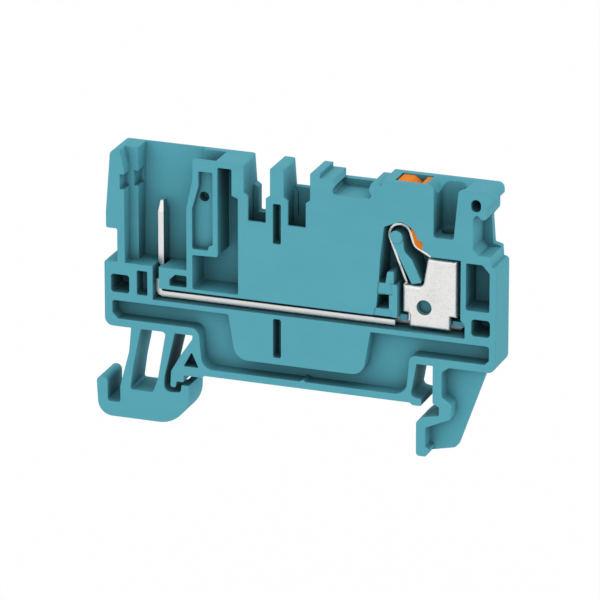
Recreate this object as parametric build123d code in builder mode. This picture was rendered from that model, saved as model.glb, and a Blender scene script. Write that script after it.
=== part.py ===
from build123d import *
import os
from math import cos, radians, sin, tan

# Feed-through terminal block that clips on a 35 mm top-hat rail, with a plug socket on the left
# and a push-in wire clamp on the right. The open front faces -Y and the closed back faces +Y.
# X runs along the block, Z up. The origin is the middle of the rail, on the rail's top face.

# Housing
block_width = 5.2
back_wall = 1.0
web = 1.0
web_depth = 2.2
outer_wall = 1.02
small_wall = 0.8
rim = 0.9
top = 30.0
belly = 5.72
keel_gap = 0.3

# Cutters: how far they run on into open space, and past a rounded corner
overlap = 0.1
corner_reach = 0.8

# Rail and the two feet that grip it
rail_width = 35.0
rail_play = 0.1
flange = 1.0
hook_play = 0.05
nose_play = 0.4
nose_reach = 0.7
foot_depth = 6.92
hook_depth = 6.9
seat_reach = 2.6
pad_width = 1.2
hook_rib = 1.25
keel_rise = 0.95

# Current bar and pin
bar_bottom = 10.2
bar_thick = 0.78
bar_front = 1.1
bar_play = 0.2
bar_headroom = 0.7
bar_bend = 1.0
bar_shoulder = 2.4
tongue_front = 2.4
pin_front = 2.0
pin_back = 3.9
pin_drop = 7.0
pin_taper = 1.5
pin_tip = 0.42
pin_point = 0.45
pin_neck = 0.25
riser_gap = 0.42
riser_front = 1.5
bar_step = 0.37
tongue_gap = 0.4

# Plug socket around the pin
socket_x = -21.4
socket_width = 8.6
socket_sill = 2.95
socket_flare = 0.6
flare_height = 2.5
mouth_edge = 0.35
sunk_drop = 1.7
key_width = 1.2
key_front = 2.0
latch_drop = 5.3
latch_height = 2.05
latch_bite = 0.6
side_notch = 1.83
side_notch_height = 4.6

# Jumper slots
jumper_x = -7.35
jumper_pitch = 5.48
jumper_mouth = 3.62
jumper_slot = 2.45
jumper_depth = 7.55
jumper_step = 4.0
jumper_well = 2.0
lip = 0.35
slot_rib = 0.4
slot_round = 0.25
back_round = 0.65
back_relief = 2.1
relief_bite = 0.3
shallow_depth = 1.1
mark_depth = 2.5
mark_inset = 1.33
mark_drop = 5.33
oblong_width = 1.1

# Clamp: the spring loops around the boss, and the cage stands on the bar's tongue
boss_x = 11.55
boss_rise = 11.6
boss_radius = 0.85
boss_front = 0.3
tail_front = 0.5
spring_thick = 0.3
spring_front = 1.55
spring_loop = 1.47
spring_lean = 21.7
spring_side = 1.85
spring_fall = 72.0
spring_shoulder = 28.0
spring_bend = 1.35
spring_tip_gap = 0.25
spring_tip_rise = 2.6
spring_leg = 2.75
spring_shift = 0.1
cage_front = 0.55
cage_thick = 0.85
cage_width = 7.41
cage_drop = 2.5
cage_hole = 2.05
cage_hole_inset = 2.97
cage_hole_rise = 0.98
cage_bend = 0.45
tab_width = 5.53
tab_inset = 0.93
tab_lift = 0.28
fit = 0.05
chamber_play = 0.45
pen_depth = 0.12
stop_gap = 0.3
stop_inset = 0.9
stop_width = 2.4
stop_rise = 2.85
foot_rib = 0.8
rib_gap = 0.12
rib_lap = 0.3
rib_front = 1.35

# Release pusher
pusher_width = 4.1
pusher_front = 1.12
pusher_play = 0.06
pusher_head = 2.5
head_slope = 0.3
head_gap = 0.1
pusher_travel = 1.6
pusher_sink = 0.15
driver_slot = 1.75
driver_floor = 0.35
driver_depth = 1.0
driver_inset = 0.66
driver_lead = 0.7
finger_width = 1.64
finger_gap = 0.12

# Wire entry
wire_width = 2.72
wire_lean = 0.62
wire_depth = 6.78
wire_hole = 1.9
wire_back = 2.9
wire_inset = 1.15
wire_corner = 0.9
wire_floor_corner = 0.4
mouth_depth = 1.3
mouth_back = 4.5
mouth_slope = 42.0
mouth_bulge = 1.2
mouth_lap = 0.7
mouth_lead = 1.2
mouth_start = 1.0
mouth_nick = 0.5

# Marker groove
marker_width = 5.3
marker_waist = 0.4
marker_depth = 2.57
marker_lip = 1.6
step_drop = 0.6
step_left = 1.75
step_right = 1.45
hole_width = 1.33
hole_height = 1.66
hole_inset = 2.82
hole_drop = 1.86

# Places worked out from the sizes above
above = top + 1.0
deep = block_width - back_wall
half = block_width / 2
rail_wall = rail_width / 2 + rail_play
nose_top = -flange - nose_play
hook_top = -flange - hook_play
bar_top = bar_bottom + bar_thick
bar_back = deep - fit
channel_floor = bar_bottom - bar_play
channel_roof = bar_top + bar_headroom
socket_left = socket_x - socket_width / 2
socket_right = socket_x + socket_width / 2
socket_floor = channel_roof + socket_sill
left_end = socket_left - outer_wall - side_notch
pocket_left = socket_right + small_wall
jumpers = [jumper_x, jumper_x + jumper_pitch]
pocket_right = jumper_x - jumper_mouth / 2 - small_wall
boss_z = bar_top + boss_rise
cage_left = boss_x + 0.78
cage_right = cage_left + cage_width
cage_top = boss_z - cage_drop
cage_shoulder = bar_top + 5.2
cage_foot = bar_top + 1.37
chamber_right = cage_right + 0.67
chamber_left = boss_x + 0.29
right_end = chamber_right + 4.8
pusher_left = boss_x - 0.4
pusher_right = pusher_left + pusher_width
pusher_top = top - pusher_sink
pusher_back = deep - pusher_play
finger_right = pusher_right - 0.3
finger_left = finger_right - finger_width
head_bottom = pusher_top - pusher_head
head_stop = head_bottom - head_slope - pusher_travel - head_gap
wire_left = cage_right - 3.05
wire_right = wire_left + wire_width
wire_floor = top - wire_depth
marker_right = pusher_left - 2.85
marker_left = marker_right - marker_width
marker_floor = top - marker_depth
island_floor = keel_gap + 2.9


def profile(depth, *outlines):
    """Closed faces at one depth behind the front, from the x, z and rounding of each corner."""
    with BuildSketch(Plane.XZ.offset(half - depth)) as sketch:
        for corners in outlines:
            with BuildLine():
                points = [(x, z) for x, z, r in corners]
                FilletPolyline(*points, radius=[r for x, z, r in corners], close=True)
            make_face()
    return sketch.sketch


def fill(front, back, *outlines):
    """Solids with these outlines, between two depths."""
    extrude(profile(front, *outlines), amount=front - back)


def cut(front, back, *outlines):
    """Pockets with these outlines, between two depths."""
    extrude(profile(front, *outlines), amount=front - back, mode=Mode.SUBTRACT)


def side_profile(x, *corners):
    """Closed face across the block, from the depth and height of each corner."""
    with BuildSketch(Plane.YZ.offset(x)) as sketch:
        with BuildLine():
            Polyline(*[(depth - half, z) for depth, z in corners], close=True)
        make_face()
    return sketch.sketch


def moved(corners, x, z):
    """The same corners, written from another point."""
    return [(x + dx, z + dz, r) for dx, dz, r in corners]


def oblong(left, right, low, high, rounding):
    """Corners of an upright rectangle."""
    return [(left, low, rounding), (right, low, rounding), (right, high, rounding), (left, high, rounding)]


def heading(angle, distance=1.0):
    """Step of this length in the x, z plane, at this angle up from +X."""
    return Vector(cos(radians(angle)), sin(radians(angle))) * distance


# Outline of the housing above the belly, from the top left corner round to the top right one
side_top = socket_floor + side_notch_height
shelf = cage_top
body = [
    (left_end + 0.95, top, 0.8),
    (left_end + 0.28, side_top + 2.2, 0),
    (left_end + 0.28, side_top, 0.25),
    (left_end + side_notch, side_top, 0.25),
    (left_end + side_notch, socket_floor, 0.2),
    (left_end, socket_floor, 0.2),
    (left_end, belly, 1.1),
    (right_end, belly, 1.1),
    (right_end, shelf, 0.5),
    (right_end - 0.67, shelf, 0.1),
    (right_end - 0.8, shelf + 1.55, 0.2),
    (right_end - 1.82, shelf + 1.8, 0.2),
    (right_end - 2.1, top - 4.35, 0.3),
    (right_end - 1.3, top - 3.3, 0.3),
    (right_end - 1.3, top - 1.95, 0.2),
    (right_end - 0.7, top - 1.35, 0.3),
    (right_end - 0.75, top, 0.8),
]

# Keel between the feet, with the seats that stand on the rail and a finger beside the left flange
keel = [
    (1.25 - rail_wall, belly + rim, 0),
    (1.25 - rail_wall, belly - 0.5, 0.4),
    (-0.3 - rail_wall, 2.9, 1.0),
    (-1.75 - rail_wall, 0.4, 0.6),
    (-1.85 - rail_wall, -1.8, 0.3),
    (-1.15 - rail_wall, -1.8, 0.2),
    (-1.0 - rail_wall, -0.95, 0.2),
    (-rail_wall, -0.95, 0.2),
    (-rail_wall, 0, 0),
    (seat_reach - rail_wall, 0, 0.1),
    (seat_reach - rail_wall + 0.3, keel_gap, 0),
    (rail_wall - 4.0, keel_gap, 0),
    (rail_wall - 2.43 - pad_width, 0, 0),
    (rail_wall - 2.43, 0, 0.15),
    (rail_wall - 2.43, keel_rise, 0.1),
    (rail_wall - 3.9, keel_rise + 0.25, 0.6),
    (rail_wall - 3.1, belly, 0),
    (rail_wall - 3.1, belly + rim, 0),
]

# Small ridge across the keel's floor, and the triangular pocket beside the left flange
keel_floor = keel_gap + 0.95
ridge = [(-1.65, keel_floor - 0.1, 0), (-1.05, keel_floor + 0.28, 0), (-0.5, keel_floor - 0.1, 0)]
gusset = moved([(0, 1.3, 0.12), (2.1, 1.3, 0.12), (1.15, 3.4, 0.12)], -rail_wall, 0)

# Springy latch foot: two legs, the nose under the left flange and the lever that pulls it off
latch = [
    (-7.25 - rail_wall, belly + rim, 0),
    (-7.3 - rail_wall, belly, 0.2),
    (-7.6 - rail_wall, 2.4, 4.0),
    (-8.9 - rail_wall, -2.6, 0),
    (-8.9 - rail_wall, 2.02 - foot_depth, 0.4),
    (-10.68 - rail_wall, 2.02 - foot_depth, 0.4),
    (-10.68 - rail_wall, -1.55, 0.74),
    (-12.24 - rail_wall, -1.55, 0.74),
    (-11.95 - rail_wall, -foot_depth, 2.0),
    (nose_reach - rail_wall, -foot_depth, 4.2),
    (nose_reach - rail_wall, nose_top, 0.1),
    (-0.3 - rail_wall, nose_top, 0.1),
    (-0.4 - rail_wall, -2.45, 0.5),
    (-2.75 - rail_wall, -2.6, 0.9),
    (-2.7 - rail_wall, -0.6, 3.0),
    (-1.2 - rail_wall, belly, 0.2),
    (-1.1 - rail_wall, belly + rim, 0),
]
latch_window = moved([
    (-5.95, belly, 0.3),
    (-2.45, belly, 0.45),
    (-3.6, -0.9, 2.0),
    (-4.3, -2.87, 0.3),
    (-7.5, -2.87, 0.3),
    (-7.05, 0.4, 3.0),
], -rail_wall, 0)

# Hook foot: a rib that reaches under the right flange, on a web that slopes to the housing
hook = moved([
    (-0.88, belly + rim, 0),
    (-0.88, 0.6, 0.3),
    (0, 0.15, 0.1),
    (0, hook_top, 0.2),
    (-2.3, hook_top - 0.45, 0.8),
    (-3.1, hook_top - 1.2, 0.5),
    (-3.1, -hook_depth, 0.5),
    (-1.75, -hook_depth, 0.3),
    (-1.25, 1.05 - hook_depth, 0.2),
    (-3.1 + hook_rib, 1.4 - hook_depth, 0.2),
    (-3.1 + hook_rib, hook_top - 1.85, 0.3),
    (1.6, hook_top - 0.3, 0.5),
    (1.7, 0.75, 0.6),
    (0.33, 1.6, 0.4),
    (0.33, belly - 0.7, 0.6),
    (1.35, belly, 0),
    (1.35, belly + rim, 0),
], rail_wall, 0)
hook_web = moved([
    (-0.3, belly + rim, 0),
    (6.2, belly + rim, 0),
    (1.75, 1.0 - hook_depth, 0.9),
    (-2.3, 0.1 - hook_depth, 0),
    (-2.5, -2.8, 0),
    (1.0, -0.7, 0),
    (-0.3, 1.6, 0),
], rail_wall, 0)

# Pocket that winds under the current bar and around the island in the keel
bar_ledge = channel_floor - rim + 0.2
winding = [
    (left_end + 1.05, bar_ledge, 0.3),
    (jumper_x - 4.0, bar_ledge, 0.35),
    (jumper_x - 3.0, island_floor, 1.9),
    (boss_x - 4.35, island_floor, 1.9),
    (boss_x - 3.35, bar_ledge, 0.2),
    (right_end - rim, bar_ledge, 0.4),
    (right_end - rim, belly + 1.66, 0.1),
    (right_end - rim - 0.55, belly + 1.06, 0.1),
    (rail_wall - 4.05, belly + 1.06, 0.9),
    (rail_wall - 4.5, keel_floor, 1.8),
    (seat_reach - rail_wall, keel_floor, 1.7),
    (seat_reach - rail_wall - 0.5, belly + 1.06, 1.2),
    (left_end + 1.85, belly + 1.06, 0.1),
    (left_end + 1.05, belly + 1.86, 0.1),
]

# Plug socket, open to the front and the top
mouth_left = socket_left - socket_flare
mouth_right = socket_right + 0.9
sunk_right = pocket_right - 3.1
socket = [
    (mouth_left, above, 0),
    (mouth_left, top, 0),
    (socket_left, top - flare_height, 0),
    (socket_left, socket_floor, 0.15),
    (socket_right, socket_floor, 0.15),
    (socket_right, top - 6.9, 0),
    (mouth_right, top - 2.8, 0),
    (mouth_right, above, 0),
]
shallow = [
    (mouth_right + small_wall, top - 1.6, 0.2),
    (mouth_right + small_wall, top - 3.7, 0),
    (pocket_left, top - 6.8, 0),
    (pocket_left, 17.7, 0.2),
    (pocket_right - 4.25, 17.7, 0.2),
    (pocket_right - 3.95, 18.35, 0.2),
    (pocket_right - 3.5, 18.5, 0.2),
    (pocket_right - 3.5, top - 1.6, 0.2),
]
deep_pocket = [
    (pocket_right - 2.8, top - 0.8, 0.2),
    (pocket_right - 0.86, top - 0.8, 0.2),
    (pocket_right - 0.86, top - 4.4, 0),
    (pocket_right, top - 4.7, 0.2),
    (pocket_right, channel_roof + 0.45, 0.2),
    (pocket_left, channel_roof + 0.45, 0.2),
    (pocket_left, 16.85, 0.2),
    (pocket_right - 2.8, 16.95, 0.3),
]

# Marker groove, with undercut sides that hold a snapped-in label
groove = [
    (marker_left, above, 0),
    (marker_left, top - step_drop, 0),
    (marker_left + marker_waist, top - 1.3, 0),
    (marker_left - 0.05, top - 2.0, 0),
    (marker_left + 0.1, marker_floor + 0.1, 0),
    (marker_left + 0.5, marker_floor, 0),
    (marker_right - 0.3, marker_floor, 0),
    (marker_right, marker_floor + 0.4, 0),
    (marker_right - marker_waist, top - 1.4, 0),
    (marker_right - 0.15, top - step_drop, 0),
    (marker_right - 0.15, above, 0),
]

# Clamp chamber, from the sill beside the cage up to the pusher and round the spring
chamber = [
    (boss_x - 2.25, cage_shoulder, 0.2),
    (boss_x - 2.05, boss_z - 2.9, 0),
    (boss_x - 1.55, boss_z + 1.3, 0.15),
    (boss_x + 0.75, boss_z + 2.3, 1.0),
    (boss_x + 2.45, boss_z + 1.4, 0.9),
    (boss_x + 3.1, boss_z - 0.05, 0.1),
    (boss_x + 3.65, boss_z - 0.1, 0),
    (boss_x + 3.65, boss_z - 1.1, 0.1),
    (boss_x + 4.95, cage_top + chamber_play, 0.1),
    (chamber_right, cage_top + chamber_play, 0.1),
    (chamber_right, cage_foot + 0.15, 0.1),
    (chamber_right + 0.6, cage_foot - 0.6, 0.1),
    (chamber_right + 0.6, channel_floor, 0.1),
    (chamber_left, channel_floor, 0),
    (chamber_left, cage_shoulder, 0.3),
]
tail = [
    (boss_x - 0.65, boss_z - 0.84, 0),
    (boss_x + 2.07, cage_shoulder + 0.2, 0.2),
    (boss_x + 3.42, cage_shoulder + 0.5, 0.2),
    (boss_x + 2.13, boss_z - 2.95, 0.3),
    (boss_x + 1.2, boss_z - 2.05, 0.3),
    (boss_x + 0.98, boss_z - 1.5, 0.2),
    (boss_x + 0.84, boss_z, 0),
]
block = [
    (boss_x - 1.4, cage_shoulder - 0.3, 0),
    (boss_x - 1.12, cage_shoulder + 1.6, 0.2),
    (boss_x - 0.25, cage_shoulder + 1.75, 0.15),
    (boss_x - 0.25, cage_shoulder - 0.3, 0),
]
peephole = [
    (boss_x - 2.58, cage_shoulder - 3.48, 0),
    (boss_x - 0.82, cage_shoulder - 3.38, 0),
    (boss_x - 0.82, cage_shoulder - 1.48, 0),
    (boss_x - 2.39, cage_shoulder - 1.54, 0),
]
pens = [
    [
        (boss_x - 2.45, cage_shoulder - 1.5, 0),
        (boss_x - 0.4, cage_shoulder - 1.5, 0),
        (boss_x - 0.4, cage_shoulder + 0.1, 0.8),
        (boss_x - 2.35, cage_shoulder + 0.1, 0),
    ],
    [
        (boss_x - 3.0, channel_roof - 0.1, 0),
        (boss_x - 0.4, channel_roof - 0.1, 0),
        (boss_x - 0.4, channel_roof + 1.05, 0.8),
        (boss_x - 2.75, channel_roof + 1.05, 0),
    ],
]

# Ribs above the bar's tongue on both sides of the cage, and the stop behind the cage's hole
tab_left = cage_left + tab_inset
tab_right = tab_left + tab_width
foot_x = tab_left - spring_thick / 2 - 0.1
foot_clear = foot_x - spring_thick / 2 - fit
rib_low = bar_top + fit
ribs = [
    oblong(chamber_left - overlap, foot_clear, rib_low, rib_low + foot_rib, 0.1),
    oblong(tab_right + rib_gap, chamber_right + rib_lap, rib_low, rib_low + foot_rib - 0.15, 0.1),
]
stop_low = bar_top + cage_thick + fit
stop_left = tab_left + stop_inset
stop = oblong(stop_left, stop_left + stop_width, stop_low, stop_low + stop_rise, 0.15)

# Jumper slots: a wide mouth with rounded edges and a narrower slot, both open behind a thin lip
mouth_half = jumper_mouth / 2
slot_half = jumper_slot / 2
slot_floor = top - jumper_depth
ledge = top - jumper_step


def jumper_outline(x, rounding, *left_side):
    """Corners of a slot from the top down its left side, and the same up its right side."""
    reach = -mouth_half - corner_reach
    rim_side = [(reach, above, 0), (reach, top, 0), (-mouth_half, top, rounding)]
    left = [*rim_side, *left_side]
    return moved(left + [(-dx, z, r) for dx, z, r in reversed(left)], x, 0)


stepped = [(-mouth_half, ledge + 0.25, 0), (-slot_half, ledge - 0.2, 0), (-slot_half, slot_floor, 0.15)]
slots = [jumper_outline(x, slot_round, *stepped) for x in jumpers]
wells = [oblong(x - mouth_half, x + mouth_half, slot_floor - jumper_well, ledge + 0.3, 0) for x in jumpers]
window = jumper_outline(jumpers[1], slot_round, (-mouth_half, ledge + 0.4, 0))
between_left = sum(jumpers) / 2 - oblong_width / 2
between_right = between_left + oblong_width
upper_slit = oblong(between_left, between_right, top - 10.25, top - 4.8, 0.2)
lower_slit = oblong(between_left, between_right, island_floor + 0.9, bar_ledge + 0.15, 0.3)

# Small pockets at both ends of the block
lift_hole = oblong(left_end + rim, left_end + rim + 2.55, bar_top - 0.55, bar_top + 1.95, 0.4)
left_pocket = oblong(left_end + 4.5, left_end + 5.98, bar_top - 0.55, bar_top + 2.8, 0.2)
sill_pocket = [
    (socket_right - 2.4, channel_roof + 0.55, 0.2),
    (socket_right - 2.4, channel_roof + 1.4, 0),
    (socket_right - 1.6, channel_roof + 2.15, 0),
    (socket_right, channel_roof + 2.15, 0.2),
    (socket_right, channel_roof + 0.55, 0.2),
]
right_hole = oblong(right_end - 3.32, right_end - 0.8, bar_bottom + 0.3, bar_bottom + 2.6, 0.45)
right_pocket = [
    (right_end - 4.1, cage_top + 0.2, 0.2),
    (right_end - 1.9, cage_top + 0.2, 0.2),
    (right_end - rim, cage_top - 0.9, 0.2),
    (right_end - rim, bar_bottom + 3.7, 0.3),
    (right_end - 4.1, bar_bottom + 3.7, 0.3),
]
side_groove = [
    (right_end, top - 3.4, 0),
    (right_end - 1.2, top - 3.35, 0.2),
    (right_end - 1.9, top - 3.75, 0.3),
    (right_end - 2.7, top - 3.05, 0.25),
    (right_end - 3.2, top - 3.6, 0.2),
    (right_end - 3.2, cage_top + 2.1, 0.2),
    (right_end - 2.5, cage_top + 1.4, 0.2),
    (right_end, cage_top + 1.4, 0),
]

# Wire entry: a well with rounded corners at the back, and a countersunk mouth
with BuildPart() as wire_well:
    fill(0, deep, [
        (wire_left, above, 0),
        (wire_left, wire_floor, 0),
        (wire_right, wire_floor, 0),
        (wire_right + wire_lean, top, 0),
        (wire_right + wire_lean, above, 0),
    ])
    back_edges = wire_well.edges().group_by(Axis.Y)[-1]
    fillet([edge for edge in back_edges if edge.length > wire_depth - overlap], wire_corner)
    floor_edges = wire_well.faces().sort_by(Axis.Z)[0].edges().sort_by(Axis.Y)[1:]
    fillet(floor_edges, wire_floor_corner)
    mouth_west = wire_left - mouth_bulge
    mouth_east = wire_right + wire_lean + mouth_lap
    outside = -half - 1.0
    with BuildSketch(Plane.XY.offset(top)):
        with BuildLine():
            FilletPolyline(
                (wire_left - overlap, outside),
                (wire_left - overlap, -half),
                (mouth_west, mouth_lead - half),
                (mouth_west, mouth_back - half),
                (mouth_east, mouth_back - half),
                (mouth_east, mouth_start - half),
                (mouth_east - mouth_nick, -half),
                (mouth_east - mouth_nick, outside),
                radius=[0, 0.5, 0.6, 1.0, 0.8, 0.4, 0.4, 0],
                close=True,
            )
        make_face()
    extrude(amount=-mouth_depth, taper=mouth_slope)

# Plug socket, whose back wall thins towards the mouth
with BuildPart() as plug_socket:
    fill(0, block_width, socket)
    drafted = [
        (0, socket_floor),
        (deep, socket_floor),
        (block_width - mouth_edge, top),
        (block_width - mouth_edge, above),
        (0, above),
    ]
    extrude(side_profile(mouth_left, *drafted), amount=mouth_right - mouth_left, mode=Mode.INTERSECT)

with BuildPart() as housing:
    fill(0, block_width, body, keel, latch, hook)
    fill(web_depth, web_depth + web, hook_web)
    cut(0, block_width, latch_window)

    # Channel for the current bar, with the slot that its pin comes up through
    pin_left = socket_x - bar_thick / 2
    channel_left = pin_left - fit
    channel = oblong(channel_left, chamber_left + overlap, channel_floor, channel_roof, 0)
    pin_right = pin_left + bar_thick
    riser = oblong(channel_left, pin_right + fit, channel_floor, socket_floor + overlap, 0)
    riser_side = oblong(pin_right, pin_right + riser_gap, channel_floor, socket_floor + overlap, 0)

    # Deep pockets, down to the back wall
    cut(0, deep, channel, riser, deep_pocket, chamber, slots[1])
    cut(0, deep, groove, side_groove, lift_hole, right_hole, right_pocket, peephole)
    cut(riser_front, deep, riser_side)
    add(wire_well.part, mode=Mode.SUBTRACT)
    add(plug_socket.part, mode=Mode.SUBTRACT)

    # Jumper slots: the left one goes through the back, the right one has a window above its ledge
    cut(0, block_width, slots[0])
    cut(deep - overlap, block_width, window)
    cut(lip, deep - slot_rib, *wells)
    for x in jumpers:
        edge_x = x - mouth_half
        cut(block_width - back_relief, block_width, [
            (edge_x - corner_reach, above, 0),
            (edge_x - corner_reach, top, 0),
            (edge_x, top, back_round),
            (edge_x, top - corner_reach, 0),
            (edge_x + overlap, top - corner_reach, 0),
            (edge_x + overlap, above, 0),
        ])
        with BuildSketch(Plane.XY.offset(top)):
            with BuildLine():
                Polyline(
                    (edge_x + overlap, half - back_relief),
                    (edge_x, half - back_relief),
                    (edge_x - relief_bite, half),
                    (edge_x + overlap, half),
                    close=True,
                )
            make_face()
        slope = Vector(0, back_relief, ledge - top)
        extrude(amount=slope.length, dir=slope.normalized(), mode=Mode.SUBTRACT)

    # Shallow pockets, and those on both sides of the middle web
    cut(0, shallow_depth, shallow)
    cut(0, web_depth, winding, lower_slit, upper_slit, left_pocket, sill_pocket, gusset)
    cut(web_depth + web, block_width, winding, lower_slit, gusset)
    fill(0, web_depth, ridge)

    # Keyway rib in the socket and the notches for the plug's latch
    key = oblong(socket_left - overlap, socket_left + key_width, socket_floor - overlap, top, 0)
    fill(key_front, block_width - mouth_edge, key)
    notch_low = top - latch_drop
    notch_high = notch_low + latch_height
    cut(0, key_front, oblong(socket_left - latch_bite, socket_left + overlap, notch_low, notch_high, 0.05))
    key_right = socket_left + key_width
    cut(0, deep, oblong(key_right - latch_bite, key_right + overlap, notch_low, notch_high, 0))
    cut(lip, deep, oblong(mouth_right - overlap, sunk_right, top - sunk_drop, above, 0))

    # Steps beside the marker groove and the groove's lower back lip
    cut(0, block_width, oblong(marker_left - step_left, pusher_left - step_right, top - step_drop, above, 0))
    cut(deep, block_width, oblong(marker_left, marker_right - 0.15, top - marker_lip, above, 0))

    # Boss and tail inside the spring, the block below its loop, and the ribs and stop round the cage
    fill(tail_front, deep, tail)
    fill(pen_depth, deep, block)
    fill(rib_front, deep, *ribs)
    fill(cage_front + cage_thick + stop_gap, deep, stop)
    with BuildSketch(Plane.XZ.offset(half - boss_front)):
        with Locations((boss_x, boss_z)):
            Circle(boss_radius)
    extrude(amount=boss_front - deep)
    cut(0, pen_depth, *pens)

    # Way for the pusher: a wide well for its head and a narrow one for its finger
    head_well = oblong(pusher_left - pusher_play, pusher_right + pusher_play, head_stop, above, 0)
    well_bottom = boss_z - 0.5
    well_left = finger_left - pusher_play
    well_right = finger_right + pusher_play
    finger_well = oblong(well_left, well_right, well_bottom, head_stop + overlap, 0)
    cut(pusher_front - pusher_play, deep, head_well, finger_well)

    # Small round holes: a test hole beside the wire entry, one in the shallow pocket, and the wire's
    with BuildSketch(Plane.XZ.offset(half)):
        with Locations((right_end - hole_inset, top - hole_drop)):
            SlotOverall(hole_height, hole_width, rotation=90)
    extrude(amount=-deep, mode=Mode.SUBTRACT)
    with BuildSketch(Plane.XZ.offset(half)):
        with Locations((pocket_left + mark_inset, top - mark_drop)):
            Circle(hole_width / 2)
    extrude(amount=-mark_depth, mode=Mode.SUBTRACT)
    with BuildSketch(Plane.XY.offset(wire_floor + overlap)):
        with Locations((wire_left + wire_inset, wire_back - half)):
            Circle(wire_hole / 2)
    extrude(amount=cage_top + chamber_play - wire_floor - 2 * overlap, mode=Mode.SUBTRACT)

housing.part.label = "housing"

# Current bar: a strip that runs along the block and turns up into the pin
with BuildPart() as current_bar:
    shoulder_z = bar_bottom + bar_shoulder
    bar_end = boss_x - bar_step
    tongue_end = chamber_right - tongue_gap
    pin_top = top - pin_drop
    neck_top = socket_floor - 0.1
    fill(pin_front, pin_back, [
        (pin_left + pin_neck, shoulder_z - overlap, 0),
        (pin_right, shoulder_z - overlap, 0),
        (pin_right, pin_top - pin_taper, 0.5),
        (socket_x + pin_tip / 2, pin_top, 0.1),
        (socket_x - pin_tip / 2, pin_top, 0.1),
        (pin_left, pin_top - pin_taper, 0.5),
        (pin_left, neck_top, 0),
        (pin_left + pin_neck, neck_top - pin_neck, 0),
    ])
    point = [
        (pin_front, shoulder_z - overlap),
        (pin_back, shoulder_z - overlap),
        (pin_back, pin_top - pin_taper),
        (pin_back - pin_point, pin_top),
        (pin_front + pin_point, pin_top),
        (pin_front, pin_top - pin_taper),
    ]
    extrude(side_profile(pin_left, *point), amount=bar_thick, mode=Mode.INTERSECT)
    fill(bar_front, bar_back, [
        (pin_left, shoulder_z, 0),
        (pin_left, bar_bottom, bar_bend),
        (bar_end, bar_bottom, 0),
        (bar_end, bar_top, 0),
        (pin_right, bar_top, bar_bend - bar_thick),
        (pin_right, shoulder_z, 0),
    ])
    fill(tongue_front, bar_back, [
        (bar_end - overlap, bar_bottom, 0),
        (tongue_end - 0.3, bar_bottom, 0.1),
        (tongue_end, bar_bottom + bar_thick / 2, 0.1),
        (tongue_end - 0.3, bar_top, 0.1),
        (bar_end - overlap, bar_top, 0),
    ])

current_bar.part.label = "current_bar"

# Clamp cage: front plate, right wall and base flange bent from one strip
with BuildPart() as clamp_cage:
    wall_left = cage_right - cage_thick
    cage_back = cage_front + cage_thick
    fill(cage_front, cage_back, [
        (cage_left, cage_shoulder, 0.1),
        (cage_left + 2.7, cage_shoulder, 0.6),
        (cage_left + 3.35, cage_top, 0.45),
        (cage_right, cage_top, 0.1),
        (cage_right, cage_foot, 0.1),
        (tab_right, cage_foot, 0.1),
        (tab_right, bar_bottom + tab_lift, 0.15),
        (tab_left, bar_bottom + tab_lift, 0.15),
        (tab_left, cage_foot, 0.4),
        (cage_left, cage_foot, 0.1),
    ])
    right_wall = oblong(wall_left, cage_right, cage_foot, cage_top, 0.1)
    base = oblong(tab_left, tab_right, bar_top, bar_top + cage_thick, 0.1)
    fill(cage_front + 0.3, bar_back, right_wall, base)
    bends = clamp_cage.edges().filter_by(Axis.Z).group_by(Axis.Y)[0].sort_by(Axis.X)[-1]
    fillet(bends, cage_bend)
    with BuildSketch(Plane.XZ.offset(half - cage_front)):
        with Locations((cage_left + cage_hole_inset, cage_foot + cage_hole_rise)):
            Circle(cage_hole / 2)
    extrude(amount=-cage_thick, mode=Mode.SUBTRACT)

clamp_cage.part.label = "clamp_cage"

# Spring strip: up from the tongue, around the boss, and down to the wire through a shoulder
with BuildPart() as clamp_spring:
    loop_centre = Vector(boss_x + spring_shift, boss_z - spring_shift)
    loop_start = loop_centre + heading(180 + spring_lean, spring_loop)
    loop_end = loop_centre + heading(90 - spring_fall, spring_loop)
    knee_z = loop_start.Y - (foot_x - loop_start.X) / tan(radians(spring_lean))
    bend_corner = loop_end + heading(-spring_fall, spring_side)
    leg_corner = bend_corner + heading(-spring_shoulder, spring_leg)
    tip = (wall_left - spring_tip_gap - spring_thick / 2, cage_foot + spring_tip_rise)
    with BuildSketch(Plane.XZ.offset(half - spring_front)):
        with BuildLine():
            FilletPolyline((foot_x, bar_top + fit), (foot_x, knee_z), loop_start, radius=1.5)
            JernArc(loop_start, heading(90 + spring_lean), spring_loop, -(90 + spring_lean + spring_fall))
            FilletPolyline(loop_end, bend_corner, leg_corner, tip, radius=[spring_bend, 1.0])
        trace(line_width=spring_thick)
    extrude(amount=spring_front - bar_back)

clamp_spring.part.label = "clamp_spring"

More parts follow.
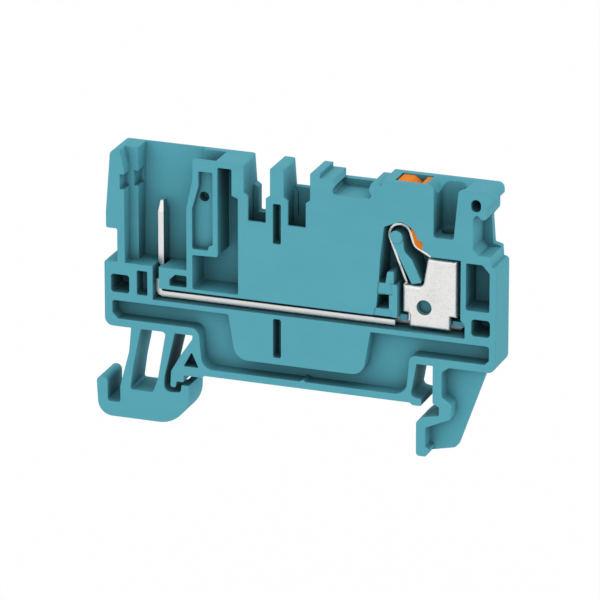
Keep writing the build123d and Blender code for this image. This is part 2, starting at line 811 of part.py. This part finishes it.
# Release pusher: the head has a driver slot, and the finger rests just above the spring's shoulder
with BuildPart() as release_pusher:
    clear = spring_thick / 2 + finger_gap
    side_start = loop_end + heading(90 - spring_fall, clear)
    bisector = 90 - (spring_fall + spring_shoulder) / 2
    half_turn = (spring_fall - spring_shoulder) / 2
    finger_corner = bend_corner + heading(bisector, clear / cos(radians(half_turn)))
    finger_end_z = finger_corner.Y - (finger_right - finger_corner.X) * tan(radians(spring_shoulder))
    slot_right = pusher_right - driver_inset
    slot_left = slot_right - driver_slot
    fill(pusher_front, pusher_back, [
        (pusher_left, pusher_top, 0.2),
        (pusher_left, head_bottom, 0.3),
        (finger_left, head_bottom - head_slope, 0.2),
        (side_start.X, side_start.Y + 0.3, 0),
        (finger_corner.X, finger_corner.Y, spring_bend - clear),
        (finger_right, finger_end_z, 0.2),
        (finger_right, head_bottom - head_slope, 0.2),
        (pusher_right, head_bottom, 0.3),
        (pusher_right, pusher_top, 0.2),
    ])
    cut(pusher_front, pusher_back, [
        (slot_left - driver_lead, above, 0),
        (slot_left - driver_lead, pusher_top, 0),
        (slot_left, pusher_top, 0.6),
        (slot_right - driver_floor, pusher_top - driver_depth, 0.3),
        (slot_right, pusher_top - driver_depth, 0.1),
        (slot_right, above, 0),
    ])

release_pusher.part.label = "release_pusher"

os.makedirs("parts", exist_ok=True)
export_step(housing.part, "parts/housing.step")
export_step(current_bar.part, "parts/current_bar.step")
export_step(clamp_cage.part, "parts/clamp_cage.step")
export_step(clamp_spring.part, "parts/clamp_spring.step")
export_step(release_pusher.part, "parts/release_pusher.step")
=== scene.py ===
import math

import bmesh
import bpy
from bpy.props import FloatProperty, FloatVectorProperty, PointerProperty
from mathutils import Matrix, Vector


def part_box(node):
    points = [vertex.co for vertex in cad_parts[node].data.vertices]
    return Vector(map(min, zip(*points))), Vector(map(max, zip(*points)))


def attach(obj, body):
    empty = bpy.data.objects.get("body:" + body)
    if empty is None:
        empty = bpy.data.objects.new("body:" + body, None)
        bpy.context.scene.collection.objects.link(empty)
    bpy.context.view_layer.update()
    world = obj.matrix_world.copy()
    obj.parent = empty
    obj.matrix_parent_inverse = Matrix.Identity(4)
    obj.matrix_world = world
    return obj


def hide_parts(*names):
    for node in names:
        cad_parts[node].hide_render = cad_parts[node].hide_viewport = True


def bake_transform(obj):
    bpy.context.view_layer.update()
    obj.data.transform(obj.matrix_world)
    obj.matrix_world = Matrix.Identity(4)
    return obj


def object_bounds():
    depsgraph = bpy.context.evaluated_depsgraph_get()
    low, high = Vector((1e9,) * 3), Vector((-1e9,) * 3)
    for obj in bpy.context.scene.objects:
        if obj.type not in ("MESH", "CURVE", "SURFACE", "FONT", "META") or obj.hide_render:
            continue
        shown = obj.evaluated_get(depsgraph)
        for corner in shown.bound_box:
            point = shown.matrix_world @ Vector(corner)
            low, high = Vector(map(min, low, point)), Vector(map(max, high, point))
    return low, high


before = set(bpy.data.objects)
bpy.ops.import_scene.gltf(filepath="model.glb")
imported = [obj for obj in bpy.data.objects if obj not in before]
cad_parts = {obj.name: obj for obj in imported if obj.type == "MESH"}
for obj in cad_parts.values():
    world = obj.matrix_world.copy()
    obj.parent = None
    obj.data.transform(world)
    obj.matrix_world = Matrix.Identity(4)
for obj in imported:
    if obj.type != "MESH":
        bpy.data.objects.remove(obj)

bl_info = {
    "name": "Terminal block dresser",
    "version": (1, 0, 0),
    "blender": (4, 5, 0),
    "location": "3D View > Sidebar > Terminal block",
    "description": "Finishes, spring strip and studio for a rail-mounted feed-through terminal block",
    "category": "Object",
}

MM = 0.001
WHITE = (1.0, 1.0, 1.0, 1.0)

# Sockets of the Mix node that carry colours
MIX_FIRST = 6
MIX_SECOND = 7
MIX_RESULT = 2

# Rays that feel out edges and recesses
EDGE_SAMPLES = 4
OPENNESS_SAMPLES = 8

# Plastic: texture scales per millimetre, factors on the colour, the rise of the painted shade in recesses and
# parts of the roughness
PLASTIC_CLOUDS = 0.16
PLASTIC_STREAKS = (0.12, 0.6, 0.5)
PLASTIC_GRAIN = 9.0
CLOUD_SHARE = 0.5
STREAK_SHARE = 0.5
PLASTIC_DARK = 0.93
PLASTIC_LIGHT = 1.07
# Painted shade: between these ambient occlusion values the plastic's colour fades into the darker shade
# colour deep in recesses
PAINTED_SHADE_RISE = (0.02, 0.92)
PLASTIC_SPECULAR = 0.03
PLASTIC_ROUGH_DROP = 0.05
PLASTIC_ROUGH_CLOUD = 0.06
PLASTIC_ROUGH_GRAIN = 0.04
# Painted shade in the pusher's recesses: its colour times this factor, within this reach
PUSHER_PAINTED_SHADE = 0.3
PUSHER_PAINTED_SHADE_REACH = 1.2 * MM

# Metal: texture scales per millimetre, factors on the colour and parts of the roughness and relief
METAL_CLOUDS = 0.9
PIT_SCALE = 6.0
SMUDGE_SCALE = 0.45
SMUDGE_RISE = (0.5, 0.72)
SMUDGE_SHARE = 0.3
SPECK_SCALE = 4.5
SPECK_RISE = (0.52, 0.68)
SPECK_SHARE = 0.7
METAL_DARK = 0.95
METAL_LIGHT = 1.05
WORN = 0.6
# Painted shade: colour factor on the metal faces that look along the block
PAINTED_SIDE_SHADE_FACTOR = 0.25
METAL_ROUGH_DROP = 0.08
METAL_ROUGH_CLOUD = 0.12
METAL_ROUGH_LINES = 0.05
LINE_RELIEF = 0.6
PIT_RELIEF = 0.4
METAL_RELIEF = 0.003 * MM

# Studio, in metres and watts, with the sensor in millimetres
SENSOR = 36.0
CLIP_NEAR = 0.05
CLIP_FAR = 10.0
FLOOR_REACH = 4.0
KEY_PLACE = (0.12, -0.8, 0.25)
KEY_SIZE = 0.45
KEY_POWER = 0.7
TOP_PLACE = (0.1, 0.05, 0.7)
TOP_SIZE = 0.5
TOP_POWER = 0.1

CAD_LOW, CAD_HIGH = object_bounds()


class Wire:
    """A socket in a node tree. Arithmetic on it adds the Math nodes that work the expression out."""

    def __init__(self, nodes, socket):
        self.nodes = nodes
        self.socket = socket

    def math(self, operation, left, right):
        return self.nodes.node("ShaderNodeMath", {"operation": operation}, {0: left, 1: right})

    def __add__(self, other):
        return self.math("ADD", self, other)

    def __radd__(self, other):
        return self.math("ADD", other, self)

    def __mul__(self, other):
        return self.math("MULTIPLY", self, other)

    def __rmul__(self, other):
        return self.math("MULTIPLY", other, self)


class Nodes:
    """The node tree of a material or of the world."""

    def __init__(self, owner):
        owner.use_nodes = True
        self.tree = owner.node_tree
        self.tree.nodes.clear()

    def node(self, kind, settings=None, sockets=None, out=0):
        """Adds a node, sets it up, feeds its sockets and gives one of its outputs."""
        made = self.tree.nodes.new(kind)
        for name, value in (settings or {}).items():
            setattr(made, name, value)
        for name, value in (sockets or {}).items():
            if isinstance(value, Wire):
                self.tree.links.new(value.socket, made.inputs[name])
            else:
                made.inputs[name].default_value = value
        return Wire(self, made.outputs[out]) if made.outputs else None


class Finish(Nodes):
    """A material made of nodes."""

    def __init__(self, name):
        self.material = bpy.data.materials.new(name)
        super().__init__(self.material)

    def millimetres(self):
        """Place on the piece at rest, in millimetres."""
        place = self.node("ShaderNodeTexCoord", out="Object")
        return self.node("ShaderNodeVectorMath", {"operation": "SCALE"}, {0: place, "Scale": 1 / MM})

    def stretched(self, place, x, y, z):
        """The place scaled by axis, which draws a texture out along the axes with small factors."""
        return self.node("ShaderNodeVectorMath", {"operation": "MULTIPLY"}, {0: place, 1: (x, y, z)})

    def noise(self, place, scale, detail=2.0, roughness=0.5):
        sockets = {"Vector": place, "Scale": scale, "Detail": detail, "Roughness": roughness}
        return self.node("ShaderNodeTexNoise", None, sockets)

    def rise(self, value, low, high):
        """0 below low, 1 above high."""
        sockets = {"Value": value, "From Min": low, "From Max": high}
        return self.node("ShaderNodeMapRange", {"interpolation_type": "SMOOTHSTEP"}, sockets)

    def mix(self, amount, first, second):
        """Mix of two colours."""
        sockets = {"Factor": amount, MIX_FIRST: first, MIX_SECOND: second}
        return self.node("ShaderNodeMix", {"data_type": "RGBA"}, sockets, out=MIX_RESULT)

    def sideways(self):
        """1 on faces that look along the block, 0 on its front, top and bottom; it masks the painted shade on
        the sides.
        """
        normal = self.node("ShaderNodeNewGeometry", out="True Normal")
        across = self.node("ShaderNodeSeparateXYZ", None, {0: normal}, out="X")
        return across * across

    def soft_edges(self, radius):
        """Normal that rolls over each sharp edge, as a moulded or stamped edge does."""
        return self.node("ShaderNodeBevel", {"samples": EDGE_SAMPLES}, {"Radius": radius})

    def openness(self, distance):
        """Ambient occlusion, 1 on open faces, falling to 0 deep in a pocket; it masks the painted shade in
        recesses.
        """
        settings = {"samples": OPENNESS_SAMPLES}
        return self.node("ShaderNodeAmbientOcclusion", settings, {"Distance": distance}, out="AO")

    def bump(self, height, distance, normal):
        sockets = {"Height": height, "Distance": distance, "Strength": 1.0, "Normal": normal}
        return self.node("ShaderNodeBump", None, sockets)

    def principled(self, **sockets):
        """The Principled shader on the output, with its sockets named by words with underscores."""
        named = {}
        for name, value in sockets.items():
            named[name.replace("_", " ").title().replace("Ior", "IOR")] = value
        shader = self.node("ShaderNodeBsdfPrincipled", None, named)
        self.node("ShaderNodeOutputMaterial", None, {"Surface": shader})
        return self.material


def rgb(colour):
    """An opaque colour from three numbers."""
    return (*colour, 1.0)


def scaled(colour, factor):
    """An opaque colour, darker or lighter than the given one but never above white."""
    return rgb([min(1.0, c * factor) for c in colour])


class PlasticFinish(bpy.types.PropertyGroup):
    """Moulded plastic of the housing and the pusher."""
    body: FloatVectorProperty(
        name="Housing colour", description="Colour of the open faces of the housing",
        subtype="COLOR", size=3, min=0.0, max=1.0, default=(0.099, 0.374, 0.454))
    # Painted shade: the colour painted deep in the housing's pockets in place of the shade that falls there
    shade: FloatVectorProperty(
        name="Pocket colour", description="Colour deep inside the housing's pockets",
        subtype="COLOR", size=3, min=0.0, max=1.0, default=(0.036, 0.105, 0.123))
    pusher: FloatVectorProperty(
        name="Pusher colour", description="Colour of the release pusher",
        subtype="COLOR", size=3, min=0.0, max=1.0, default=(0.83, 0.235, 0.022))
    gloss: FloatProperty(
        name="Roughness", description="How matt the plastic is",
        subtype="FACTOR", min=0.0, max=1.0, default=0.58)
    grain: FloatProperty(
        name="Grain height", description="Height of the spark-eroded grain of the mould",
        unit="LENGTH", default=0.004 * MM)
    edge: FloatProperty(
        name="Edge rounding", description="Radius that moulded edges appear to have",
        unit="LENGTH", default=0.09 * MM)
    # Reach of the ambient occlusion that masks the painted shade in the pockets
    painted_shade_reach: FloatProperty(
        name="Recess reach", description="How far apart walls start to shade each other",
        unit="LENGTH", default=4.6 * MM)


class MetalFinish(bpy.types.PropertyGroup):
    """Tinned copper of the bar and the cage, and the spring's steel."""
    tin: FloatVectorProperty(
        name="Tin colour", description="Colour of the tin plating",
        subtype="COLOR", size=3, min=0.0, max=1.0, default=(0.86, 0.86, 0.85))
    steel: FloatVectorProperty(
        name="Spring colour", description="Colour of the spring steel",
        subtype="COLOR", size=3, min=0.0, max=1.0, default=(0.86, 0.86, 0.855))
    edge: FloatProperty(
        name="Edge rounding", description="Radius that stamped edges appear to have",
        unit="LENGTH", default=0.03 * MM)
    bar_edge: FloatProperty(
        name="Bar edge rounding", description="Radius that the drawn edges of the bar appear to have",
        unit="LENGTH", default=0.17 * MM)


class KeyRootShape(bpy.types.PropertyGroup):
    """Corner between the socket's flared wall and its key rib, which the moulding fills."""
    wall: FloatProperty(
        name="Wall", description="Just inside the flared wall at the top, across the block",
        unit="LENGTH", default=-26.32 * MM)
    rib: FloatProperty(
        name="Rib", description="Just inside the key rib's left side, across the block",
        unit="LENGTH", default=-25.75 * MM)
    drop: FloatProperty(
        name="Drop", description="From the root's top down to its lower tip",
        unit="LENGTH", default=2.3 * MM)
    sink: FloatProperty(
        name="Sink", description="How far the root lies below the faces beside it",
        unit="LENGTH", default=0.01 * MM)
    front: FloatProperty(
        name="Front", description="Front face of the key rib",
        unit="LENGTH", default=-0.6 * MM)
    back: FloatProperty(
        name="Back", description="Just inside the socket's back wall",
        unit="LENGTH", default=2.3 * MM)


class SpringShape(bpy.types.PropertyGroup):
    """Where the spring strip starts and ends its bend when the pusher goes down."""
    start: FloatVectorProperty(
        name="Bend start",
        description="Point over the loop from which the strip gives way, clear of its foot",
        subtype="TRANSLATION", size=3, unit="LENGTH", default=(11.7 * MM, 0.0, 24.0 * MM))
    end: FloatVectorProperty(
        name="Bend end",
        description="Point beyond the loop's side from which the strip follows the pusher",
        subtype="TRANSLATION", size=3, unit="LENGTH", default=(13.67 * MM, 0.0, 24.35 * MM))
    step: FloatProperty(
        name="Bend step", description="Distance between the cuts that let the strip bend evenly",
        unit="LENGTH", default=0.1 * MM)


class StudioSettings(bpy.types.PropertyGroup):
    """Camera, floor and light."""
    azimuth: FloatProperty(
        name="Azimuth", description="How far the camera stands round to the right of the open front",
        subtype="ANGLE", default=math.radians(20.03))
    elevation: FloatProperty(
        name="Elevation", description="How far the camera looks down",
        subtype="ANGLE", default=math.radians(19.98))
    distance: FloatProperty(
        name="Distance", description="From the camera to the front of the block",
        unit="LENGTH", default=0.8549)
    lens: FloatProperty(
        name="Lens", description="Focal length in millimetres on a 36 mm sensor",
        default=397.5)
    target: FloatVectorProperty(
        name="Target", description="Point in the middle of the picture",
        subtype="TRANSLATION", size=3, unit="LENGTH", default=(-1.43 * MM, -2.6 * MM, 12.5 * MM))
    floor_drop: FloatProperty(
        name="Floor drop", description="From the feet down to the studio floor",
        unit="LENGTH", default=30 * MM)
    paper: FloatVectorProperty(
        name="Paper colour", description="Colour of the studio floor",
        subtype="COLOR", size=3, min=0.0, max=1.0, default=(0.88, 0.88, 0.88))
    paper_white: FloatProperty(
        name="Paper white", description="How nearly the camera sees the floor as pure white",
        subtype="FACTOR", min=0.0, max=1.0, default=0.97)
    surround: FloatProperty(
        name="Surround", description="Strength of the even light from all sides",
        min=0.0, default=0.95)


def settings(name):
    return getattr(bpy.context.scene, name)


def dress(node_name, material):
    """Gives a CAD node its finish."""
    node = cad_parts[node_name]
    node.data.materials.clear()
    node.data.materials.append(material)


def moulded_plastic(name, colour, shade, reach):
    """Satin plastic with the mould's fine grain, a faint cloudiness and painted shade that darkens its
    recesses.
    """
    look = settings("block_plastic")
    finish = Finish(name)
    place = finish.millimetres()
    cloud = finish.noise(place, PLASTIC_CLOUDS, detail=3.0)
    streaks = finish.noise(finish.stretched(place, *PLASTIC_STREAKS), 1.0, detail=3.0)
    grain = finish.noise(place, PLASTIC_GRAIN, detail=3.0, roughness=0.6)
    patches = cloud * CLOUD_SHARE + streaks * STREAK_SHARE
    tone = finish.mix(patches, scaled(colour, PLASTIC_DARK), scaled(colour, PLASTIC_LIGHT))
    # Painted shade: the base colour turns to the shade colour where ambient occlusion finds nearby walls
    unshaded = finish.rise(finish.openness(reach), *PAINTED_SHADE_RISE)
    return finish.principled(
        base_color=finish.mix(unshaded, rgb(shade), tone),
        roughness=look.gloss - PLASTIC_ROUGH_DROP + cloud * PLASTIC_ROUGH_CLOUD + grain * PLASTIC_ROUGH_GRAIN,
        specular_ior_level=PLASTIC_SPECULAR,
        normal=finish.bump(grain, look.grain, finish.soft_edges(look.edge)),
    )


def tinned_metal(name, colour, roughness, rolling, edge, wear, painted_side_shade=0.0):
    """Strip metal: bright, faintly clouded, with rolling lines, smudges and specks, and painted shade on the
    sides.
    """
    finish = Finish(name)
    place = finish.millimetres()
    cloud = finish.noise(place, METAL_CLOUDS, detail=4.0, roughness=0.6)
    lines = finish.noise(finish.stretched(place, *rolling), 1.0)
    pits = finish.noise(place, PIT_SCALE)
    smudges = finish.rise(finish.noise(place, SMUDGE_SCALE, detail=3.0, roughness=0.65), *SMUDGE_RISE)
    specks = finish.rise(finish.noise(place, SPECK_SCALE, detail=3.0, roughness=0.7), *SPECK_RISE)
    marks = (smudges * SMUDGE_SHARE + specks * SPECK_SHARE) * wear
    tone = finish.mix(cloud, scaled(colour, METAL_DARK), scaled(colour, METAL_LIGHT))
    face = finish.mix(marks, tone, scaled(colour, WORN))
    relief = lines * LINE_RELIEF + pits * PIT_RELIEF
    return finish.principled(
        # Painted shade: faces that look along the block are darkened by the side shade factor
        base_color=finish.mix(finish.sideways() * painted_side_shade, face, scaled(colour, PAINTED_SIDE_SHADE_FACTOR)),
        metallic=1.0,
        roughness=roughness - METAL_ROUGH_DROP + cloud * METAL_ROUGH_CLOUD + lines * METAL_ROUGH_LINES,
        normal=finish.bump(relief, METAL_RELIEF, finish.soft_edges(edge)),
    )


class BLOCK_OT_housing(bpy.types.Operator):
    """Finishes the moulded housing"""
    bl_idname = "block.housing"
    bl_label = "Finish housing"

    def execute(self, context):
        look = settings("block_plastic")
        dress("housing", moulded_plastic("housing_plastic", look.body, look.shade, look.painted_shade_reach))
        return {"FINISHED"}


class BLOCK_OT_key_root(bpy.types.Operator):
    """Makes the moulded root that joins the key rib to the socket's flared wall"""
    bl_idname = "block.key_root"
    bl_label = "Make key root"

    def execute(self, context):
        shape = settings("block_key_root")
        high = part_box("housing")[1][2] - shape.sink
        corners = [(shape.wall, high), (shape.rib, high), (shape.rib, high - shape.drop)]
        depths = (shape.front + shape.sink, shape.back)
        points = [(x, y, z) for y in depths for x, z in corners]
        faces = [(0, 2, 1), (3, 4, 5), (0, 1, 4, 3), (1, 2, 5, 4), (0, 3, 5, 2)]
        mesh = bpy.data.meshes.new("key_root")
        mesh.from_pydata(points, [], faces)
        mesh.materials.append(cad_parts["housing"].data.materials[0])
        root = bpy.data.objects.new("key_root", mesh)
        context.scene.collection.objects.link(root)
        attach(root, "block")
        return {"FINISHED"}


class BLOCK_OT_pusher(bpy.types.Operator):
    """Finishes the release pusher"""
    bl_idname = "block.pusher"
    bl_label = "Finish pusher"

    def execute(self, context):
        look = settings("block_plastic")
        # Painted shade for the pusher's recesses: a darker copy of its colour
        shade = [c * PUSHER_PAINTED_SHADE for c in look.pusher]
        dress("release_pusher", moulded_plastic("pusher_plastic", look.pusher, shade, PUSHER_PAINTED_SHADE_REACH))
        return {"FINISHED"}


class BLOCK_OT_metalwork(bpy.types.Operator):
    """Finishes the current bar and the clamp cage"""
    bl_idname = "block.metalwork"
    bl_label = "Finish bar and cage"

    def execute(self, context):
        look = settings("block_metal")
        # The bar's sides get painted shade; the cage's and the spring's do not
        bar = tinned_metal(
            "bar_tin", look.tin, roughness=0.3, rolling=(0.3, 6.0, 6.0),
            edge=look.bar_edge, wear=0.3, painted_side_shade=0.85)
        cage = tinned_metal(
            "cage_tin", look.tin, roughness=0.42, rolling=(6.0, 6.0, 0.5), edge=look.edge, wear=0.8)
        dress("current_bar", bar)
        dress("clamp_cage", cage)
        return {"FINISHED"}


class BLOCK_OT_spring(bpy.types.Operator):
    """Makes the spring strip, cut across at even steps along the path of its bend"""
    bl_idname = "block.spring"
    bl_label = "Make spring strip"

    def execute(self, context):
        shape = settings("block_spring")
        strip = bpy.data.objects.new("spring_strip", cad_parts["clamp_spring"].data.copy())
        context.scene.collection.objects.link(strip)
        mesh = bmesh.new()
        mesh.from_mesh(strip.data)
        start = Vector(shape.start)
        bend = Vector(shape.end) - start
        steps = math.ceil(bend.length / shape.step)
        for i in range(steps + 1):
            cut = start + bend * (i / steps)
            everything = mesh.verts[:] + mesh.edges[:] + mesh.faces[:]
            bmesh.ops.bisect_plane(mesh, geom=everything, plane_co=cut, plane_no=bend)
        mesh.to_mesh(strip.data)
        mesh.free()
        look = settings("block_metal")
        steel = tinned_metal(
            "spring_steel", look.steel, roughness=0.3, rolling=(6.0, 0.4, 6.0), edge=look.edge, wear=0.2)
        strip.data.materials.clear()
        strip.data.materials.append(steel)
        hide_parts("clamp_spring")
        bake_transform(strip)
        return {"FINISHED"}


class BLOCK_OT_studio(bpy.types.Operator):
    """Sets up the camera, the pale floor and the soft light"""
    bl_idname = "block.studio"
    bl_label = "Set up studio"

    def execute(self, context):
        studio = settings("block_studio")
        scene = context.scene
        scene.view_settings.view_transform = "Standard"
        target = Vector(studio.target)
        self.camera(scene, studio, target)
        self.floor(scene, studio)
        self.surround(scene, studio)
        self.lamp(scene, "key", target, KEY_PLACE, KEY_SIZE, KEY_POWER)
        self.lamp(scene, "top", target, TOP_PLACE, TOP_SIZE, TOP_POWER)
        return {"FINISHED"}

    def camera(self, scene, studio, target):
        data = bpy.data.cameras.new("camera")
        data.lens = studio.lens
        data.sensor_width = SENSOR
        data.clip_start = CLIP_NEAR
        data.clip_end = CLIP_FAR
        camera = bpy.data.objects.new("camera", data)
        scene.collection.objects.link(camera)
        side = math.cos(studio.elevation)
        away = Vector((
            math.sin(studio.azimuth) * side,
            -math.cos(studio.azimuth) * side,
            math.sin(studio.elevation),
        ))
        camera.location = target + away * studio.distance
        camera.rotation_euler = away.to_track_quat("Z", "Y").to_euler()
        scene.camera = camera

    def floor(self, scene, studio):
        height = CAD_LOW[2] - studio.floor_drop
        mesh = bpy.data.meshes.new("floor")
        reach = FLOOR_REACH
        around = [(-reach, -reach), (reach, -reach), (reach, reach), (-reach, reach)]
        mesh.from_pydata([(x, y, height) for x, y in around], [], [(0, 1, 2, 3)])
        floor = bpy.data.objects.new("floor", mesh)
        scene.collection.objects.link(floor)
        finish = Finish("floor_paper")
        rays = finish.node("ShaderNodeLightPath", out="Is Camera Ray")
        paper = finish.node("ShaderNodeBsdfDiffuse", None, {"Color": rgb(studio.paper)})
        white = finish.node("ShaderNodeEmission", None, {"Color": WHITE, "Strength": 1.0})
        shown = finish.node("ShaderNodeMixShader", None, {0: rays * studio.paper_white, 1: paper, 2: white})
        finish.node("ShaderNodeOutputMaterial", None, {"Surface": shown})
        mesh.materials.append(finish.material)

    def surround(self, scene, studio):
        world = bpy.data.worlds.new("surround")
        scene.world = world
        nodes = Nodes(world)
        camera = nodes.node("ShaderNodeLightPath", out="Is Camera Ray")
        glossy = nodes.node("ShaderNodeLightPath", out="Is Glossy Ray")
        through = nodes.node("ShaderNodeLightPath", out="Is Transmission Ray")
        lit = nodes.node("ShaderNodeBackground", None, {"Color": WHITE, "Strength": studio.surround})
        white = nodes.node("ShaderNodeBackground", None, {"Color": WHITE, "Strength": 1.0})
        shown = nodes.node("ShaderNodeMixShader", None, {0: camera + glossy + through, 1: lit, 2: white})
        nodes.node("ShaderNodeOutputWorld", None, {"Surface": shown})

    def lamp(self, scene, name, target, offset, size, power):
        data = bpy.data.lights.new(name, "AREA")
        data.shape = "SQUARE"
        data.size = size
        data.energy = power
        lamp = bpy.data.objects.new(name, data)
        scene.collection.objects.link(lamp)
        lamp.location = target + Vector(offset)
        lamp.rotation_euler = Vector(offset).to_track_quat("Z", "Y").to_euler()


class BLOCK_PT_panel(bpy.types.Panel):
    """Sidebar panel with the block's pieces and the studio"""
    bl_label = "Terminal block"
    bl_idname = "BLOCK_PT_panel"
    bl_space_type = "VIEW_3D"
    bl_region_type = "UI"
    bl_category = "Terminal block"

    def draw(self, context):
        for name, group in GROUPS.items():
            box = self.layout.box()
            for prop in group.__annotations__:
                box.prop(settings(name), prop)
        for operator in OPERATORS:
            self.layout.operator(operator.bl_idname)


GROUPS = {
    "block_plastic": PlasticFinish,
    "block_metal": MetalFinish,
    "block_key_root": KeyRootShape,
    "block_spring": SpringShape,
    "block_studio": StudioSettings,
}
OPERATORS = [
    BLOCK_OT_housing,
    BLOCK_OT_key_root,
    BLOCK_OT_pusher,
    BLOCK_OT_metalwork,
    BLOCK_OT_spring,
    BLOCK_OT_studio,
]


def register():
    for group in GROUPS.values():
        bpy.utils.register_class(group)
    for name, group in GROUPS.items():
        setattr(bpy.types.Scene, name, PointerProperty(type=group))
    for operator in OPERATORS:
        bpy.utils.register_class(operator)
    bpy.utils.register_class(BLOCK_PT_panel)


def unregister():
    bpy.utils.unregister_class(BLOCK_PT_panel)
    for operator in reversed(OPERATORS):
        bpy.utils.unregister_class(operator)
    for name, group in GROUPS.items():
        delattr(bpy.types.Scene, name)
        bpy.utils.unregister_class(group)


def main():
    register()
    bpy.ops.block.housing()
    bpy.ops.block.key_root()
    bpy.ops.block.pusher()
    bpy.ops.block.metalwork()
    bpy.ops.block.spring()
    bpy.ops.block.studio()


if __name__ == "__main__":
    main()
